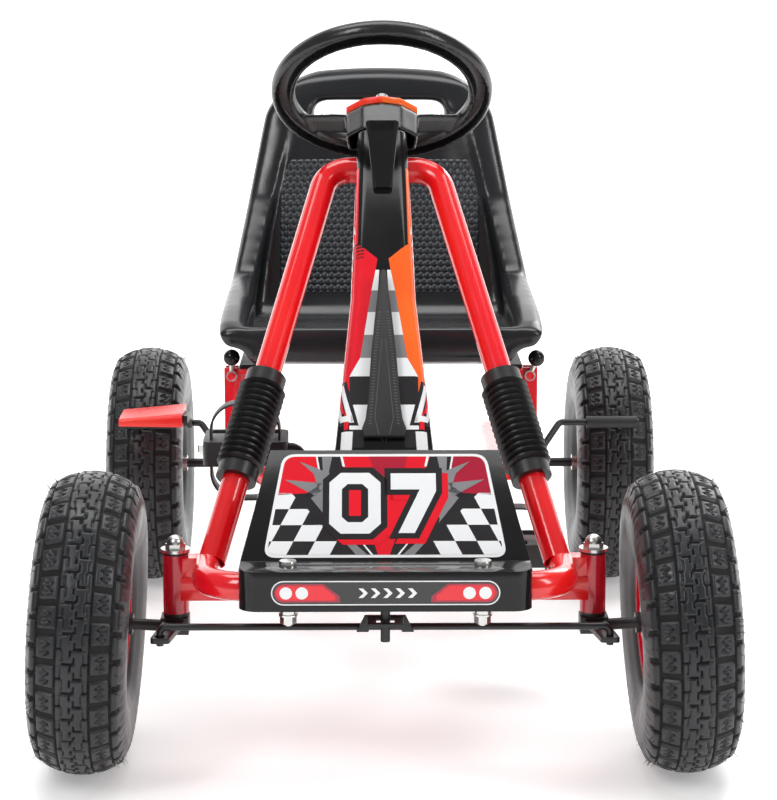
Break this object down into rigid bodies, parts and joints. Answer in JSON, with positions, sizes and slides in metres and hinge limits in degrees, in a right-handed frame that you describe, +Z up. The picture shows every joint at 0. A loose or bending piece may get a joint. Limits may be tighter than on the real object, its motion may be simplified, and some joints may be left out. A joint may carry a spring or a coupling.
{
  "type": "pedal go kart",
  "caption": "Child's pedal go kart: red tube frame, pneumatic tyres, steered front wheels, chain-driven rear axle, strapped pedals, brake handle and moulded bucket seat.",
  "frame": {"origin": "on the ground under the middle of the kart's bounding box", "axes": "+Z up, +Y towards the seat and rear axle (the kart faces -Y), +X the driver's left"},
  "size_m": [0.593, 0.9199, 0.6349],
  "materials": {
    "tyre_rubber": "matt moulded rubber",
    "tube_rubber": "matt",
    "rim_paint": "gloss enamel",
    "frame_paint": "gloss powder coat",
    "kingpin_paint": "gloss powder coat",
    "black_steel": "satin powder coat",
    "zinc": "bright zinc",
    "bearing_steel": "ground",
    "chain_steel": "oiled",
    "nylon": "moulded",
    "cover_plastic": "gloss moulded",
    "insert_plastic": "grained",
    "seat_plastic": "satin moulded",
    "wheel_plastic": "satin moulded",
    "red_plastic": "gloss moulded",
    "gaiter_rubber": "satin",
    "sleeve_rubber": "matt",
    "strap_plastic": "moulded"
  },
  "bodies": {
    "chassis": {"bumper_bolts": "zinc", "bumper_cover": "cover_plastic", "bumper_nuts": "zinc", "bumper_tube": "frame_paint", "chain": "chain_steel", "chain_guard": "cover_plastic", "column_beak": "cover_plastic", "column_cover_front": "cover_plastic", "column_cover_rear": "cover_plastic", "column_housings": "frame_paint", "column_insert": "insert_plastic", "crank_housing": "frame_paint", "front_axle_beam": "frame_paint", "hoop_gaiters": "gaiter_rubber", "hoop_tube": "frame_paint", "kingpin_housings": "kingpin_paint", "plain_bushes": "nylon", "rear_bearings": "bearing_steel", "rear_subframe": "frame_paint", "seat_posts": "frame_paint", "spine_tube": "frame_paint"},
    "steering": {"steering_shaft": "black_steel", "steering_wheel": "wheel_plastic", "steering_hub_pad": "red_plastic", "steering_wheel_bolt": "zinc"},
    "knuckle_left": {"knuckle_left": "black_steel", "knuckle_nuts_left": "zinc"},
    "knuckle_right": {"knuckle_right": "black_steel", "knuckle_nuts_right": "zinc"},
    "tie_rod": {"tie_rod": "black_steel"},
    "front_wheel_left": {"tyre_front_left": "tyre_rubber", "inner_tube_front_left": "tube_rubber", "rim_front_left": "rim_paint", "wheel_bearings_left": "bearing_steel"},
    "front_wheel_right": {"tyre_front_right": "tyre_rubber", "inner_tube_front_right": "tube_rubber", "rim_front_right": "rim_paint", "wheel_bearings_right": "bearing_steel"},
    "rear_axle": {"rear_axle": "black_steel", "rear_axle_nuts": "zinc", "driven_sprocket": "zinc", "rear_tyres": "tyre_rubber", "rear_inner_tubes": "tube_rubber", "rear_rims": "rim_paint"},
    "crank": {"crank": "black_steel", "drive_sprocket": "zinc", "pedal_nuts": "zinc"},
    "pedal_left": {"pedal_left": "strap_plastic", "pedal_strap_left": "strap_plastic"},
    "pedal_right": {"pedal_right": "strap_plastic", "pedal_strap_right": "strap_plastic"},
    "brake": {"brake_bar": "black_steel", "brake_sleeves": "sleeve_rubber", "brake_grip": "red_plastic"},
    "seat": {"seat_shell": "seat_plastic", "seat_rails": "black_steel"},
    "clamp_left": {"clamp_lever_left": "zinc", "clamp_knob_left": "cover_plastic"},
    "clamp_right": {"clamp_lever_right": "zinc", "clamp_knob_right": "cover_plastic"}
  },
  "joints": [
    {"name": "steering_wheel_turn", "type": "hinge", "parent": "chassis", "child": "steering", "pos_m": [0, -0.035, 0.565], "axis": [0, 0.6252, 0.7804], "range_deg": [-36, 36]},
    {"name": "knuckle_left_turn", "type": "hinge", "parent": "chassis", "child": "knuckle_left", "pos_m": [0.1787, -0.33, 0.16], "axis": [0, 0, 1], "range_deg": [-20.3, 20.3]},
    {"name": "knuckle_right_turn", "type": "hinge", "parent": "chassis", "child": "knuckle_right", "pos_m": [-0.1787, -0.33, 0.16], "axis": [0, 0, 1], "range_deg": [-20.3, 20.3]},
    {"name": "tie_rod_pivot", "type": "hinge", "parent": "knuckle_left", "child": "tie_rod", "pos_m": [0.188, -0.39, 0.142], "axis": [0, 0, 1], "range_deg": [-20.3, 20.3]},
    {"name": "front_wheel_left_spin", "type": "hinge", "parent": "knuckle_left", "child": "front_wheel_left", "pos_m": [0.2513, -0.33, 0.12989], "axis": [0.9985, 0, 0.0541], "continuous": true},
    {"name": "front_wheel_right_spin", "type": "hinge", "parent": "knuckle_right", "child": "front_wheel_right", "pos_m": [-0.2513, -0.33, 0.12989], "axis": [0.9985, 0, -0.0541], "continuous": true},
    {"name": "rear_axle_spin", "type": "hinge", "parent": "chassis", "child": "rear_axle", "pos_m": [0, 0.33, 0.13], "axis": [1, 0, 0], "continuous": true, "deforming": ["chain"]},
    {"name": "crank_spin", "type": "hinge", "parent": "chassis", "child": "crank", "pos_m": [0, -0.13503, 0.193], "axis": [1, 0, 0], "continuous": true},
    {"name": "pedal_left_spin", "type": "hinge", "parent": "crank", "child": "pedal_left", "pos_m": [0.125, -0.09538, 0.13531], "axis": [1, 0, 0], "continuous": true},
    {"name": "pedal_right_spin", "type": "hinge", "parent": "crank", "child": "pedal_right", "pos_m": [-0.125, -0.17468, 0.25069], "axis": [1, 0, 0], "continuous": true},
    {"name": "brake_pull", "type": "hinge", "parent": "chassis", "child": "brake", "pos_m": [0, 0.18, 0.148], "axis": [-1, 0, 0], "range_deg": [0, 6.2]},
    {"name": "seat_slide", "type": "slide", "parent": "chassis", "child": "seat", "axis": [0, 1, 0], "range_m": [-0.02, 0.02]},
    {"name": "clamp_left_turn", "type": "hinge", "parent": "chassis", "child": "clamp_left", "pos_m": [0.153, 0.108, 0.268], "axis": [0, 1, 0], "range_deg": [-20, 70]},
    {"name": "clamp_right_turn", "type": "hinge", "parent": "chassis", "child": "clamp_right", "pos_m": [-0.153, 0.108, 0.268], "axis": [0, 1, 0], "range_deg": [-80, 0]}
  ],
  "couplings": [
    {"joint": "knuckle_left_turn", "follows": "steering_wheel_turn", "ratio": 0.56},
    {"joint": "knuckle_right_turn", "follows": "steering_wheel_turn", "ratio": 0.56},
    {"joint": "tie_rod_pivot", "follows": "steering_wheel_turn", "ratio": -0.53256},
    {"joint": "crank_spin", "follows": "rear_axle_spin", "ratio": 0.5}
  ]
}
